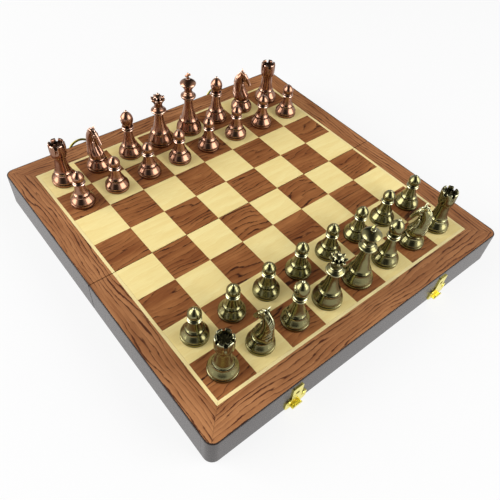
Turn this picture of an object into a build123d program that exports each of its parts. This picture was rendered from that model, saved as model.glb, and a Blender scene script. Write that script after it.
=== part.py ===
from build123d import *
import os

# Folding chess box with 32 metal men. The frame's origin lies on the fold line, at the middle of the
# opened board, on the surface that it rests on: +X along the fold, +Y from the near half (ranks 1
# to 4) to the far half (ranks 5 to 8), +Z up. All sizes are in millimetres.

# Playing field and box
square = 32.0
files = 8
ranks = 8
stringing_width = 2.5
border_width = 19.5
edge_line = 1.0
edge_rounding = 0.6
corner_radius = 7.0
wall_height = 29.5
rail_thickness = 10.0
panel_thickness = 4.0
panel_bearing = 5.0
veneer_thickness = 0.8
lining_thickness = 0.8
fold_gap = 0.8
glue_joint = 0.1

# Fold hinges
hinge_offset = 75.0
hinge_length = 36.0
knuckle_count = 3
knuckle_gap = 0.2
knuckle_radius = 1.1
knuckle_clearance = 0.2
hinge_pin_radius = 0.6
pin_clearance = 0.05
leaf_width = 8.5
leaf_thickness = 0.8
closing_gap = 0.3

# Latches, each a hook plate on the near wall and a swinging loop on the far wall
latch_offset = 78.0
hook_plate_width = 19.5
hook_plate_height = 11.0
hook_plate_thickness = 1.0
hook_plate_rounding = 3.0
strap_width = 9.4
strap_height = 13.5
strap_rounding = 1.5
strap_hole = 3.0
strap_hole_height = 17.0
hook_width = 9.0
hook_web_height = 0.6
hook_metal = 0.8
hook_tip_clearance = 0.8
hook_tip_rounding = 2.0
loop_axis_height = 12.0
loop_axis_reach = 2.2
loop_width = 20.0
loop_side_length = 14.0
loop_length = 18.6
loop_band = 1.8
loop_thickness = 1.0
loop_lean = 9.0
loop_knuckle_radius = 1.2
loop_knuckle_length = 3.0
loop_knuckle_gap = 0.2
loop_pin_radius = 0.6
bracket_width = 16.0
bracket_height = 11.0
bracket_thickness = 0.8
bracket_rounding = 3.0

# Turned foot shared by all men
foot_height = 3.3
foot_groove = 0.6
ring_band = 1.0
ring_groove = 0.4
shoulder_fullness = 0.3

# Each man: foot radius, bright ring, stem, collar, head, full height
pawn_foot_radius = 10.3
pawn_ring_radius = 6.6
pawn_ring_height = 11.2
pawn_stem_radius = 3.6
pawn_collar_radius = 5.2
pawn_collar_height = 20.6
pawn_head_radius = 5.0
pawn_height = 32.7
pawn_tip_radius = 0.8

rook_foot_radius = 11.0
rook_ring_radius = 7.2
rook_ring_height = 11.8
rook_stem_radius = 5.0
rook_waist_height = 25.0
rook_head_height = 31.5
rook_head_radius = 6.8
rook_height = 40.0
rook_well_radius = 4.6
rook_well_depth = 3.2
rook_slot_width = 1.9
rook_slot_depth = 2.6
rook_merlons = 6

bishop_foot_radius = 10.7
bishop_ring_radius = 7.0
bishop_ring_height = 12.0
bishop_stem_radius = 3.3
bishop_collar_radius = 5.4
bishop_collar_height = 26.6
bishop_head_radius = 5.5
bishop_head_height = 44.4
bishop_height = 46.0
bishop_tip_radius = 1.2
bishop_cut_width = 0.9
bishop_cut_depth = 4.2

queen_foot_radius = 11.6
queen_ring_radius = 8.1
queen_ring_height = 13.5
queen_stem_radius = 3.8
queen_collar_radius = 6.9
queen_collar_height = 31.2
queen_neck_radius = 3.5
queen_crown_radius = 6.4
queen_crown_height = 46.4
queen_points = 8
queen_point_gap = 2.2
queen_dome_rise = 5.0
queen_tip_radius = 1.2

king_foot_radius = 12.1
king_ring_radius = 8.4
king_ring_height = 13.8
king_stem_radius = 3.7
king_collar_radius = 7.0
king_collar_height = 34.0
king_neck_radius = 3.5
king_crown_radius = 7.3
king_crown_height = 50.0
king_dome_rise = 4.0
king_cross_height = 6.0
king_cross_width = 5.5
king_cross_arm = 1.5
king_cross_thickness = 1.6

knight_foot_radius = 10.5
knight_ring_radius = 6.8
knight_ring_height = 11.6
knight_height = 44.0
knight_chest_width = 12.4
knight_neck_width = 7.4
knight_poll_width = 5.8
knight_muzzle_width = 4.4
knight_ear_gap = 1.6

# Levels and spans that follow from the sizes above
hinge_axis = knuckle_radius
rim = hinge_axis + closing_gap / 2
board_top = rim + wall_height
panel_top = board_top - veneer_thickness
panel_bottom = panel_top - panel_thickness
half_width = files * square / 2 + stringing_width + border_width
half_depth = ranks * square / 2 + stringing_width + border_width
queen_height = queen_crown_height + queen_dome_rise
king_dome_height = king_crown_height + king_dome_rise
king_height = king_dome_height + king_cross_height
fold_face = fold_gap / 2
knuckle_room = knuckle_radius + knuckle_clearance
knuckle_pitch = hinge_length / knuckle_count
loop_axis = Vector(0, half_depth + loop_axis_reach, rim + loop_axis_height)

os.makedirs("parts", exist_ok=True)


def save(part, name):
    """Label one finished piece and write it under its own name."""
    part.label = name
    export_step(part, f"parts/{name}.step")


def half_plan(side_inset, outer_inset, fold_inset, radius=0.0):
    """Plan of the near half, drawn in from its sides, its outer edge and the fold line."""
    width = 2 * (half_width - side_inset)
    depth = half_depth - outer_inset - fold_inset
    with BuildSketch() as plan:
        with Locations((0, -fold_inset - depth / 2)):
            Rectangle(width, depth)
        if radius > 0:
            fillet(plan.vertices().group_by(Axis.Y)[0], radius)
    return plan.sketch


wall_plan = half_plan(0, 0, fold_face, corner_radius)
cavity_plan = half_plan(rail_thickness, rail_thickness, fold_face + rail_thickness)
bearing_inset = rail_thickness - panel_bearing
bearing_plan = half_plan(bearing_inset, bearing_inset, fold_face + bearing_inset)
veneer_plan = half_plan(edge_line, edge_line, fold_face, corner_radius - edge_line)


# Rails of one half: an outer rail the full width, two side rails and a fold rail butted between
# them, with a rabbet for the panel, a shallow seat for the veneer and a rounded painted edge.
with BuildPart() as near_rails:
    with BuildSketch(Plane.XY.offset(rim)):
        add(wall_plan)
    extrude(amount=wall_height)
    fillet(near_rails.edges().group_by(Axis.Z)[-1].sort_by(Axis.Y)[:-1], edge_rounding)
    with BuildSketch(Plane.XY.offset(rim)):
        add(cavity_plan)
    extrude(amount=wall_height, mode=Mode.SUBTRACT)
    with BuildSketch(Plane.XY.offset(panel_bottom)):
        add(bearing_plan)
    extrude(amount=panel_thickness + veneer_thickness, mode=Mode.SUBTRACT)
    with BuildSketch(Plane.XY.offset(panel_top)):
        add(veneer_plan)
    extrude(amount=veneer_thickness, mode=Mode.SUBTRACT)
    with BuildSketch(Plane.XY.offset(rim)):
        with Locations((0, -half_depth + rail_thickness + glue_joint / 2)):
            Rectangle(2 * half_width, glue_joint)
        with Locations((0, -fold_face - rail_thickness / 2)):
            with GridLocations(2 * (half_width - rail_thickness) - glue_joint, 0, 2, 1):
                Rectangle(glue_joint, rail_thickness)
    extrude(amount=wall_height, mode=Mode.SUBTRACT)
    with BuildSketch(Plane.XY.offset(rim)):
        with GridLocations(2 * hinge_offset, 0, 2, 1):
            Rectangle(hinge_length + 2 * glue_joint, 2 * (leaf_width + glue_joint))
    extrude(amount=leaf_thickness, mode=Mode.SUBTRACT)
    with BuildSketch(Plane.XY.offset(rim)):
        with GridLocations(2 * hinge_offset, 0, 2, 1):
            Rectangle(hinge_length + 2 * knuckle_clearance, 2 * knuckle_room)
    extrude(amount=hinge_axis + knuckle_room - rim, mode=Mode.SUBTRACT)
save(near_rails.part, "near_rails")

with BuildPart() as far_rails:
    mirror(near_rails.part, about=Plane.XZ)
save(far_rails.part, "far_rails")

# Thin top panel, let into the rabbet of the rails.
with BuildPart() as near_panel:
    with BuildSketch(Plane.XY.offset(panel_bottom)):
        add(bearing_plan)
        offset(amount=-glue_joint, mode=Mode.REPLACE)
    extrude(amount=panel_thickness)
save(near_panel.part, "near_panel")

with BuildPart() as far_panel:
    mirror(near_panel.part, about=Plane.XZ)
save(far_panel.part, "far_panel")

# Felt lining under the panel, inside the storage space.
with BuildPart() as near_lining:
    with BuildSketch(Plane.XY.offset(panel_bottom - lining_thickness)):
        add(cavity_plan)
        offset(amount=-glue_joint, mode=Mode.REPLACE)
    extrude(amount=lining_thickness)
save(near_lining.part, "near_lining")

with BuildPart() as far_lining:
    mirror(near_lining.part, about=Plane.XZ)
save(far_lining.part, "far_lining")


def mitred_strips(outer_plan, outer_corner, inner_corner):
    """Three veneer strips round the near half, mitred from the outer to the inner corners."""
    with BuildPart() as strips:
        with BuildSketch(Plane.XY.offset(panel_top)):
            add(outer_plan)
            with Locations((0, -inner_corner.Y / 2)):
                Rectangle(2 * inner_corner.X, inner_corner.Y, mode=Mode.SUBTRACT)
            with BuildLine():
                Line((inner_corner.X, -inner_corner.Y), (outer_corner.X, -outer_corner.Y))
            trace(line_width=glue_joint, mode=Mode.SUBTRACT)
            with BuildLine():
                Line((-inner_corner.X, -inner_corner.Y), (-outer_corner.X, -outer_corner.Y))
            trace(line_width=glue_joint, mode=Mode.SUBTRACT)
        extrude(amount=veneer_thickness)
    return strips.part


board_corner = Vector(half_width, half_depth)
field_corner = Vector(files * square / 2, ranks * square / 2)
stringing_corner = field_corner + Vector(stringing_width, stringing_width)
joint = Vector(glue_joint, glue_joint)

# Border veneer, let in behind the painted edge.
near_border = mitred_strips(veneer_plan, board_corner, stringing_corner + joint / 2)
save(near_border, "near_border")

with BuildPart() as far_border:
    mirror(near_border, about=Plane.XZ)
save(far_border.part, "far_border")

# Light stringing between the border and the squares.
stringing_inset = border_width + glue_joint / 2
stringing_plan = half_plan(stringing_inset, stringing_inset, fold_face)
near_stringing = mitred_strips(stringing_plan, stringing_corner, field_corner + joint / 2)
save(near_stringing, "near_stringing")

with BuildPart() as far_stringing:
    mirror(near_stringing, about=Plane.XZ)
save(far_stringing.part, "far_stringing")


def square_centre(file, rank):
    """Middle of a square, files and ranks counted from 0 at the near left corner."""
    return ((file - (files - 1) / 2) * square, (rank - (ranks - 1) / 2) * square)


def near_squares(parity):
    """The near half's veneer squares of one colour, those at the fold cut back to its face."""
    centres = [
        square_centre(file, rank)
        for file in range(files)
        for rank in range(ranks // 2)
        if (file + rank) % 2 == parity
    ]
    with BuildPart() as squares:
        with BuildSketch(Plane.XY.offset(panel_top)):
            with Locations(*centres):
                Rectangle(square - glue_joint, square - glue_joint)
            Rectangle(2 * half_width, fold_gap, mode=Mode.SUBTRACT)
        extrude(amount=veneer_thickness)
    return squares.part


near_dark_squares = near_squares(0)
near_light_squares = near_squares(1)
save(near_dark_squares, "near_dark_squares")
save(near_light_squares, "near_light_squares")

# The far half is the mirror image with the colours exchanged.
with BuildPart() as far_light_squares:
    mirror(near_dark_squares, about=Plane.XZ)
save(far_light_squares.part, "far_light_squares")

with BuildPart() as far_dark_squares:
    mirror(near_light_squares, about=Plane.XZ)
save(far_dark_squares.part, "far_dark_squares")


def hinge_leaves(side, first_knuckle):
    """Both hinges' leaves on one half, with every second knuckle rolled round the pin."""
    with BuildPart() as leaves:
        with BuildSketch(Plane.XY.offset(rim)):
            with Locations((0, side * (leaf_width + knuckle_room) / 2)):
                with GridLocations(2 * hinge_offset, 0, 2, 1):
                    Rectangle(hinge_length, leaf_width - knuckle_room)
        extrude(amount=leaf_thickness)
        for hinge_x in (-hinge_offset, hinge_offset):
            for knuckle in range(first_knuckle, knuckle_count, 2):
                middle = hinge_x + (knuckle - (knuckle_count - 1) / 2) * knuckle_pitch
                length = knuckle_pitch - knuckle_gap
                with BuildSketch(Plane.XY.offset(rim)):
                    with Locations((middle, side * knuckle_room / 2)):
                        Rectangle(length, knuckle_room)
                extrude(amount=leaf_thickness)
                with BuildSketch(Plane.YZ.offset(middle - length / 2)):
                    with Locations((0, hinge_axis)):
                        Circle(knuckle_radius)
                extrude(amount=length)
        with BuildSketch(Plane.YZ.offset(-half_width)):
            with Locations((0, hinge_axis)):
                Circle(hinge_pin_radius + pin_clearance)
        extrude(amount=2 * half_width, mode=Mode.SUBTRACT)
    return leaves.part


save(hinge_leaves(-1, 0), "near_hinge_leaves")
save(hinge_leaves(1, 1), "far_hinge_leaves")

# Hinge pins, their ends flush with the outer knuckles.
with BuildPart() as hinge_pins:
    for hinge_x in (-hinge_offset, hinge_offset):
        with BuildSketch(Plane.YZ.offset(hinge_x - hinge_length / 2)):
            with Locations((0, hinge_axis)):
                Circle(hinge_pin_radius)
        extrude(amount=hinge_length)
save(hinge_pins.part, "hinge_pins")

# Stamped hook plates on the near wall: a round-shouldered plate down to the rim, a narrow strap
# above it with a square hole, and a tongue bent out and up that the loop drops over.
hook_tip = loop_length - loop_band - loop_axis_height - closing_gap - hook_tip_clearance
hook_slot = loop_axis_reach + loop_thickness / 2 + knuckle_clearance
with BuildPart() as hook_plates:
    with BuildSketch(Plane.XZ.offset(half_depth)):
        with GridLocations(2 * latch_offset, 0, 2, 1):
            with Locations((0, rim + hook_plate_height / 2)):
                RectangleRounded(hook_plate_width, hook_plate_height, hook_plate_rounding)
            with Locations((0, rim + hook_plate_height + strap_height / 2 - strap_rounding)):
                RectangleRounded(strap_width, strap_height + 2 * strap_rounding, strap_rounding)
            with Locations((0, rim + strap_hole_height)):
                Rectangle(strap_hole, strap_hole, mode=Mode.SUBTRACT)
    extrude(amount=hook_plate_thickness)
    for hook_x in (-latch_offset, latch_offset):
        with BuildSketch(Plane.YZ.offset(hook_x - hook_width / 2)):
            with BuildLine():
                Polyline(
                    (-half_depth - hook_plate_thickness / 2, rim + hook_web_height),
                    (-half_depth - hook_slot, rim + hook_web_height),
                    (-half_depth - hook_slot - hook_metal, rim + hook_web_height + hook_metal / 2),
                    (-half_depth - hook_slot - hook_metal, rim + hook_tip),
                    (-half_depth - hook_slot, rim + hook_tip),
                    (-half_depth - hook_slot, rim + hook_web_height + hook_metal),
                    (-half_depth - hook_plate_thickness / 2, rim + hook_web_height + hook_metal),
                    close=True,
                )
            make_face()
        extrude(amount=hook_width)
    tip_corners = hook_plates.edges().filter_by(Axis.Y).group_by(lambda e: abs(e.center().Z - rim - hook_tip))[0]
    fillet(tip_corners, hook_tip_rounding)
save(hook_plates.part, "latch_hook_plates")

# Loop brackets on the far wall, each with one long knuckle round the loop's pin.
bracket_knuckle = loop_width - 2 * (loop_knuckle_length + loop_knuckle_gap)
with BuildPart() as brackets:
    with BuildSketch(Plane.XZ.offset(-half_depth)):
        with GridLocations(2 * latch_offset, 0, 2, 1):
            with Locations((0, loop_axis.Z + bracket_height / 2)):
                RectangleRounded(bracket_width, bracket_height, bracket_rounding)
            with Locations((0, loop_axis.Z + bracket_height / 4)):
                Rectangle(bracket_knuckle, bracket_height / 2)
    extrude(amount=-bracket_thickness)
    for loop_x in (-latch_offset, latch_offset):
        with BuildSketch(Plane.YZ.offset(loop_x - bracket_knuckle / 2)):
            with Locations((loop_axis.Y, loop_axis.Z)):
                Circle(loop_knuckle_radius)
            with Locations((half_depth + loop_axis_reach / 2, loop_axis.Z + loop_knuckle_radius / 2)):
                Rectangle(loop_axis_reach, loop_knuckle_radius)
        extrude(amount=bracket_knuckle)
    with BuildSketch(Plane.YZ.offset(-half_width)):
        with Locations((loop_axis.Y, loop_axis.Z)):
            Circle(loop_pin_radius + pin_clearance)
    extrude(amount=2 * half_width, mode=Mode.SUBTRACT)
save(brackets.part, "latch_loop_brackets")


def latch_loop(loop_x):
    """One D-shaped loop as the photograph shows it, swung up and leaning a little outward."""
    centre = Vector(loop_x, loop_axis.Y, loop_axis.Z)
    lying = Plane(origin=centre, x_dir=(1, 0, 0), z_dir=(0, -1, 0))
    leaning = lying.rotated((-loop_lean, 0, 0))
    with BuildPart() as loop:
        with BuildSketch(leaning.offset(-loop_thickness / 2)) as band:
            with BuildLine():
                Line((-loop_width / 2, 0), (loop_width / 2, 0))
                Line((loop_width / 2, 0), (loop_width / 2, loop_side_length))
                ThreePointArc(
                    (loop_width / 2, loop_side_length),
                    (0, loop_length),
                    (-loop_width / 2, loop_side_length),
                )
                Line((-loop_width / 2, loop_side_length), (-loop_width / 2, 0))
            make_face()
            with BuildLine():
                inner = loop_width / 2 - loop_band
                Line((-inner, 0), (inner, 0))
                Line((inner, 0), (inner, loop_side_length - loop_band / 2))
                ThreePointArc(
                    (inner, loop_side_length - loop_band / 2),
                    (0, loop_length - loop_band),
                    (-inner, loop_side_length - loop_band / 2),
                )
                Line((-inner, loop_side_length - loop_band / 2), (-inner, 0))
            make_face(mode=Mode.SUBTRACT)
        extrude(amount=loop_thickness)
        for eye_x in (-(loop_width - loop_knuckle_length) / 2, (loop_width - loop_knuckle_length) / 2):
            with BuildSketch(Plane.YZ.offset(loop_x + eye_x - loop_knuckle_length / 2)):
                with Locations((loop_axis.Y, loop_axis.Z)):
                    Circle(loop_knuckle_radius)
            extrude(amount=loop_knuckle_length)
        with BuildSketch(Plane.YZ.offset(loop_x - loop_width)):
            with Locations((loop_axis.Y, loop_axis.Z)):
                Circle(loop_pin_radius + pin_clearance)
        extrude(amount=2 * loop_width, mode=Mode.SUBTRACT)
    return loop.part


save(latch_loop(-latch_offset), "latch_loop_left")
save(latch_loop(latch_offset), "latch_loop_right")

# Loop pins, their ends flush with the loops' eyes.
with BuildPart() as loop_pins:
    for loop_x in (-latch_offset, latch_offset):
        with BuildSketch(Plane.YZ.offset(loop_x - loop_width / 2)):
            with Locations((loop_axis.Y, loop_axis.Z)):
                Circle(loop_pin_radius)
        extrude(amount=loop_width)
save(loop_pins.part, "latch_loop_pins")


def foot_lines(foot_radius, ring_radius, ring_height):
    """Foot, groove, full shoulder and bright ring, drawn in the profile; gives the ring's top."""
    step = foot_radius - foot_groove
    groove = ring_radius - ring_groove
    rise = ring_height - ring_band / 2 - foot_height
    shoulder = (foot_radius - shoulder_fullness * (foot_radius - groove), foot_height + 0.74 * rise)
    Polyline((0, 0), (foot_radius, 0), (foot_radius, foot_height), (step, foot_height))
    ThreePointArc((step, foot_height), shoulder, (groove, foot_height + rise))
    Polyline(
        (groove, foot_height + rise),
        (ring_radius, ring_height),
        (groove, ring_height + ring_band / 2),
    )
    return (groove, ring_height + ring_band / 2)


def stem_arc(start, stem_radius, stem_top):
    """Hollow-curved stem from the ring up to its narrow top; gives that point."""
    middle = (
        stem_radius + 0.3 * (start[0] - stem_radius),
        start[1] + 0.45 * (stem_top - start[1]),
    )
    ThreePointArc(start, middle, (stem_radius, stem_top))
    return (stem_radius, stem_top)


# Pawn: stem, sharp collar, ogive head.
with BuildPart() as pawn:
    with BuildSketch(Plane.XZ):
        with BuildLine():
            ring_top = foot_lines(pawn_foot_radius, pawn_ring_radius, pawn_ring_height)
            stem_top = stem_arc(ring_top, pawn_stem_radius, pawn_collar_height)
            neck = (pawn_head_radius - 0.6, pawn_collar_height + 3.4)
            Polyline(stem_top, (pawn_collar_radius, pawn_collar_height + 1.2), neck)
            ThreePointArc(
                neck,
                (pawn_head_radius - 0.1, (neck[1] + pawn_height) / 2 - 0.7),
                (pawn_tip_radius, pawn_height - 0.4),
            )
            Polyline((pawn_tip_radius, pawn_height - 0.4), (0, pawn_height), (0, 0))
        make_face()
    revolve(axis=Axis.Z)

# Rook: flared head with a well and slots that leave the merlons.
with BuildPart() as rook:
    with BuildSketch(Plane.XZ):
        with BuildLine():
            ring_top = foot_lines(rook_foot_radius, rook_ring_radius, rook_ring_height)
            waist = stem_arc(ring_top, rook_stem_radius, rook_waist_height)
            ThreePointArc(
                waist,
                (rook_stem_radius + 0.75, (rook_waist_height + rook_head_height) / 2 + 0.3),
                (rook_head_radius - 0.2, rook_head_height),
            )
            Polyline(
                (rook_head_radius - 0.2, rook_head_height),
                (rook_head_radius, rook_height),
                (rook_well_radius, rook_height),
                (rook_well_radius, rook_height - rook_well_depth),
                (0, rook_height - rook_well_depth),
                (0, 0),
            )
        make_face()
    revolve(axis=Axis.Z)
    with BuildSketch(Plane.XY.offset(rook_height)):
        with PolarLocations(0, rook_merlons // 2):
            Rectangle(3 * rook_head_radius, rook_slot_width)
    extrude(amount=-rook_slot_depth, mode=Mode.SUBTRACT)

# Bishop: mitre-shaped head with its slanting cut and a small tip.
with BuildPart() as bishop:
    with BuildSketch(Plane.XZ):
        with BuildLine():
            ring_top = foot_lines(bishop_foot_radius, bishop_ring_radius, bishop_ring_height)
            stem_top = stem_arc(ring_top, bishop_stem_radius, bishop_collar_height)
            neck = (bishop_head_radius - 1.6, bishop_collar_height + 3.8)
            Polyline(stem_top, (bishop_collar_radius, bishop_collar_height + 1.6), neck)
            ThreePointArc(
                neck,
                (bishop_head_radius, (neck[1] + bishop_head_height) / 2 - 0.9),
                (bishop_tip_radius - 0.3, bishop_head_height),
            )
            Polyline(
                (bishop_tip_radius - 0.3, bishop_head_height),
                (bishop_tip_radius, (bishop_head_height + bishop_height) / 2),
                (0, bishop_height),
                (0, 0),
            )
        make_face()
    revolve(axis=Axis.Z)
    cut_middle = Vector(bishop_head_radius, 0, bishop_head_height - 3.4)
    with BuildSketch(Plane(origin=cut_middle, x_dir=(0, 1, 0), z_dir=(1, 0, 1))):
        Rectangle(3 * bishop_head_radius, 2 * bishop_cut_depth)
    extrude(amount=bishop_cut_width / 2, both=True, mode=Mode.SUBTRACT)

# Queen: wide collar, flaring neck and a coronet of points round a domed cap.
with BuildPart() as queen:
    with BuildSketch(Plane.XZ):
        with BuildLine():
            ring_top = foot_lines(queen_foot_radius, queen_ring_radius, queen_ring_height)
            stem_top = stem_arc(ring_top, queen_stem_radius, queen_collar_height)
            neck = (queen_neck_radius, queen_collar_height + 7.6)
            cap = queen_crown_radius - 1.5
            Polyline(
                stem_top,
                (queen_collar_radius, queen_collar_height + 2.6),
                (queen_collar_radius, queen_collar_height + 3.4),
                neck,
            )
            ThreePointArc(
                neck,
                (queen_neck_radius + 0.9, (neck[1] + queen_crown_height) / 2),
                (queen_crown_radius, queen_crown_height),
            )
            Line((queen_crown_radius, queen_crown_height), (cap, queen_crown_height))
            ThreePointArc(
                (cap, queen_crown_height),
                (0.75 * cap, queen_crown_height + 2),
                (queen_tip_radius - 0.3, queen_height - 1.8),
            )
            Polyline(
                (queen_tip_radius - 0.3, queen_height - 1.8),
                (queen_tip_radius, queen_height - 0.9),
                (0, queen_height),
                (0, 0),
            )
        make_face()
    revolve(axis=Axis.Z)
    for point in range(queen_points):
        gap_plane = Plane.YZ.rotated((0, 0, 360 * point / queen_points))
        with BuildSketch(gap_plane.offset(cap)):
            with Locations((0, queen_crown_height)):
                Rectangle(queen_point_gap, queen_point_gap, rotation=45)
        extrude(amount=queen_crown_radius, mode=Mode.SUBTRACT)

# King: wide collar, flaring crown with a domed cap and a small cross.
with BuildPart() as king:
    with BuildSketch(Plane.XZ):
        with BuildLine():
            ring_top = foot_lines(king_foot_radius, king_ring_radius, king_ring_height)
            stem_top = stem_arc(ring_top, king_stem_radius, king_collar_height)
            neck = (king_neck_radius, king_collar_height + 8.6)
            Polyline(
                stem_top,
                (king_collar_radius, king_collar_height + 3.6),
                (king_collar_radius, king_collar_height + 4.4),
                neck,
            )
            ThreePointArc(
                neck,
                (king_neck_radius + 1.3, (neck[1] + king_crown_height) / 2 + 0.2),
                (king_crown_radius, king_crown_height),
            )
            ThreePointArc(
                (king_crown_radius, king_crown_height),
                (king_crown_radius - 2.4, (king_crown_height + king_dome_height) / 2 + 0.7),
                (king_cross_arm / 2, king_dome_height),
            )
            Polyline((king_cross_arm / 2, king_dome_height), (0, king_dome_height), (0, 0))
        make_face()
    revolve(axis=Axis.Z)
    with BuildSketch(Plane.XZ):
        with Locations((0, (king_dome_height + king_height) / 2 - 0.3)):
            Rectangle(king_cross_arm, king_cross_height + 0.6)
        with Locations((0, king_dome_height + 0.6 * king_cross_height)):
            Rectangle(king_cross_width, king_cross_arm)
    extrude(amount=king_cross_thickness / 2, both=True)

# Knight: horse head cut from three outlines: from the side, from the front and from above.
with BuildPart() as horse:
    neck_foot = knight_ring_height + ring_band / 2 - 0.5
    with BuildSketch(Plane.XZ):
        with BuildLine():
            Polyline((6.2, neck_foot), (-6.2, neck_foot), (-6.2, 15.0))
            Spline((-6.2, 15.0), (-7.3, 27.0), (-6.4, 35.5), (-2.2, 40.8))
            Polyline((-2.2, 40.8), (-1.2, knight_height), (0.4, 41.2), (2.6, 39.4))
            Spline((2.6, 39.4), (5.0, 35.6), (8.2, 28.6), (8.4, 26.8))
            Polyline((8.4, 26.8), (7.4, 25.6), (5.6, 26.2))
            Spline((5.6, 26.2), (3.4, 29.4), (1.0, 29.8), (0.0, 26.4), (1.8, 22.0), (5.6, 19.4))
            Spline((5.6, 19.4), (7.4, 16.4), (6.2, neck_foot))
        make_face()
    extrude(amount=knight_chest_width / 2, both=True)
    with BuildSketch(Plane.YZ) as front:
        with BuildLine():
            Polyline((0, neck_foot), (knight_chest_width / 2, neck_foot))
            Spline(
                (knight_chest_width / 2, neck_foot),
                (knight_chest_width / 2 - 0.4, 18.0),
                (knight_neck_width / 2, 26.0),
                (knight_poll_width / 2 + 0.2, 36.0),
                (knight_poll_width / 2, 40.6),
            )
            Polyline(
                (knight_poll_width / 2, 40.6),
                (knight_ear_gap / 2 + 0.7, knight_height),
                (knight_ear_gap / 2, knight_height),
                (0, 40.8),
                (0, neck_foot),
            )
        make_face()
        mirror(about=Plane.YZ)
    extrude(amount=3 * knight_foot_radius, both=True, mode=Mode.INTERSECT)
    with BuildSketch(Plane.XY.offset(neck_foot)) as above:
        with BuildLine():
            Polyline(
                (-8.4, 0),
                (-8.0, 2.4),
                (-5.0, knight_chest_width / 2),
                (3.0, knight_chest_width / 2),
                (6.8, knight_muzzle_width / 2 + 1.2),
                (8.6, knight_muzzle_width / 2),
                (8.6, 0),
                (-8.4, 0),
            )
        make_face()
        mirror(about=Plane.XZ)
    extrude(amount=knight_height, mode=Mode.INTERSECT)

with BuildPart() as knight:
    with BuildSketch(Plane.XZ):
        with BuildLine():
            ring_top = foot_lines(knight_foot_radius, knight_ring_radius, knight_ring_height)
            Polyline(ring_top, (0, ring_top[1]), (0, 0))
        make_face()
    revolve(axis=Axis.Z)
    add(horse.part)


def stand(man, name, file, rank, heading=0.0):
    """Stand one man on the middle of his square."""
    x, y = square_centre(file, rank)
    with BuildPart() as standing:
        with Locations(Location((x, y, board_top), (0, 0, heading))):
            add(man)
    save(standing.part, name)


for army, home, front, queenside, kingside in (
    ("near", 0, 1, 102, 128),
    ("far", ranks - 1, ranks - 2, -72, -48),
):
    stand(rook.part, f"{army}_rook_a", 0, home)
    stand(knight.part, f"{army}_knight_b", 1, home, queenside)
    stand(bishop.part, f"{army}_bishop_c", 2, home, 90)
    stand(queen.part, f"{army}_queen", 3, home)
    stand(king.part, f"{army}_king", 4, home)
    stand(bishop.part, f"{army}_bishop_f", 5, home, 90)
    stand(knight.part, f"{army}_knight_g", 6, home, kingside)
    stand(rook.part, f"{army}_rook_h", 7, home)
    for file in range(files):
        stand(pawn.part, f"{army}_pawn_{'abcdefgh'[file]}", file, front)
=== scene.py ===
import bmesh
import bpy
import math
from mathutils import Matrix, Vector
from mathutils.bvhtree import BVHTree


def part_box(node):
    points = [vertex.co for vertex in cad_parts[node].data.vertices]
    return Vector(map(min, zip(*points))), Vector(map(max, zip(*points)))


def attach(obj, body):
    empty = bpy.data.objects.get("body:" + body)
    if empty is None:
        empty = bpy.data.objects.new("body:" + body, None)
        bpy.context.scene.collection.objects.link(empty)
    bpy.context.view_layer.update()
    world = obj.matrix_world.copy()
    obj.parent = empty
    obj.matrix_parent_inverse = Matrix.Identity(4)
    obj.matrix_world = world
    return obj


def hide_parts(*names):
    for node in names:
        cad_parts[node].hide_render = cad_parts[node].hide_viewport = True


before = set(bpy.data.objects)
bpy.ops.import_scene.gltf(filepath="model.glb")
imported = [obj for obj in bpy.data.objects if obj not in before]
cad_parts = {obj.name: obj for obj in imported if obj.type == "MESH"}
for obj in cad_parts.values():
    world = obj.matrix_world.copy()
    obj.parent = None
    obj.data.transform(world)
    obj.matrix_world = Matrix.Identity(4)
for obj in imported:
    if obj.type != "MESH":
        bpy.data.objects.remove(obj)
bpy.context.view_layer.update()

# The studio: a white sweep under two soft boxes and a dim room, seen from above the near left
# corner. The camera stands where the lattice of the squares puts it, for a frame 500 pixels wide.
square = 0.032
board_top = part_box("near_dark_squares")[1][2]
azimuth = math.radians(-43.3109)
elevation = math.radians(49.2038)
roll = math.radians(5.8065)
look_at = Vector((-1.0208 * square, -1.3181 * square, board_top))
camera_distance = 13.138 * square
frame_pixels = 500
focal_pixels = 533.88
sensor_width = 36

back = Vector((
    math.sin(azimuth) * math.cos(elevation),
    -math.cos(azimuth) * math.cos(elevation),
    math.sin(elevation),
))
level = Vector((math.cos(azimuth), math.sin(azimuth), 0))
upright = back.cross(level)
right = math.cos(roll) * level + math.sin(roll) * upright
up = -math.sin(roll) * level + math.cos(roll) * upright
camera_data = bpy.data.cameras.new("studio_camera")
camera_data.sensor_width = sensor_width
camera_data.lens = focal_pixels / frame_pixels * sensor_width
camera_data.clip_start = 0.01
camera = bpy.data.objects.new("studio_camera", camera_data)
bpy.context.scene.collection.objects.link(camera)
axes = Matrix((right, up, back)).transposed().to_4x4()
camera.matrix_world = Matrix.Translation(look_at + back * camera_distance) @ axes
bpy.context.scene.camera = camera
bpy.context.scene.view_settings.view_transform = "Standard"


def soft_box(name, place_at, aim_at, width, height, power):
    """A rectangular soft box with its face turned to the point aimed at."""
    data = bpy.data.lights.new(name, "AREA")
    data.shape = "RECTANGLE"
    data.size = width
    data.size_y = height
    data.energy = power
    lamp = bpy.data.objects.new(name, data)
    lamp.location = place_at
    lamp.rotation_euler = (Vector(aim_at) - Vector(place_at)).to_track_quat("-Z", "Y").to_euler()
    bpy.context.scene.collection.objects.link(lamp)


above_board = (0, 0, 0.2)
soft_box("left_soft_box", (-1.19, 0.64, 0.66), above_board, width=1.3, height=1.2, power=25)
soft_box("right_soft_box", (0.72, -1.15, 0.64), above_board, width=1.2, height=1.2, power=21)


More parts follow.
